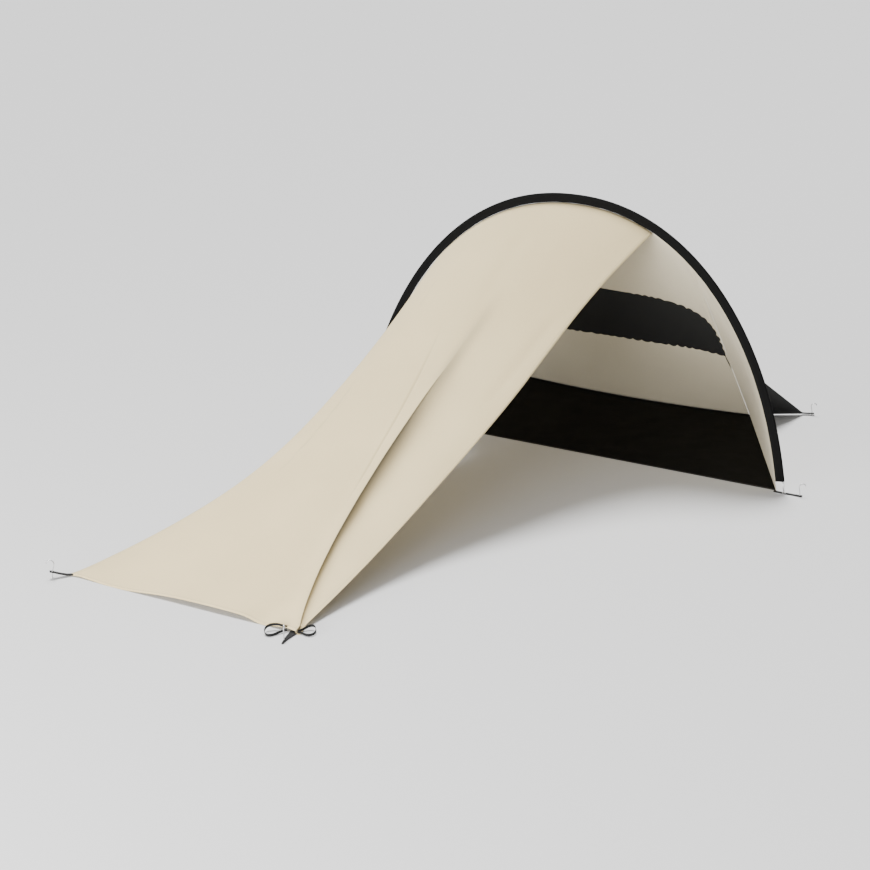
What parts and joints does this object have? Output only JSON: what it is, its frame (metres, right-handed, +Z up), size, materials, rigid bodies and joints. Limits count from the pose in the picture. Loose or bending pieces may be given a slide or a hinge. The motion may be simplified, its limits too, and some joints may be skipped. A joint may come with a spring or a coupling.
{
  "type": "one-arch sun tarp",
  "caption": "Low beach shelter on a single arched pole, with a groundsheet, slanted back with a netting window, and a long shade sheet pegged out in front.",
  "frame": {"origin": "on the ground, at the middle of the groundsheet's underside", "axes": "+Z up; -Y towards the open front, where the shade sheet runs to its pegs; +X to the right seen from the front"},
  "size_m": [2.3853, 3.3702, 1.2354],
  "materials": {
    "canvas": "matt woven polyester",
    "black_cloth": "matt coated polyester",
    "netting": "fine black netting",
    "webbing": "ribbed webbing and tape",
    "alloy": "satin bare metal"
  },
  "bodies": {
    "root": {"arch_pole": "alloy", "awning": "canvas", "back_panel": "canvas", "foot_eyelet_left": "alloy", "foot_eyelet_right": "alloy", "foot_strap_left": "webbing", "foot_strap_right": "webbing", "front_peg_left": "alloy", "front_peg_right": "alloy", "front_strap_left": "webbing", "front_strap_right": "webbing", "groundsheet": "black_cloth", "pole_sleeve": "black_cloth", "pole_tip_left": "alloy", "pole_tip_right": "alloy", "rear_peg_left": "alloy", "rear_peg_right": "alloy", "rear_strap_left": "webbing", "rear_strap_right": "webbing", "side_panel_left": "canvas", "side_panel_right": "canvas", "side_peg_left": "alloy", "side_peg_right": "alloy", "tape_loop_left": "webbing", "tape_loop_right": "webbing", "window_mesh": "netting", "wing_left": "black_cloth", "wing_right": "black_cloth"}
  },
  "joints": []
}
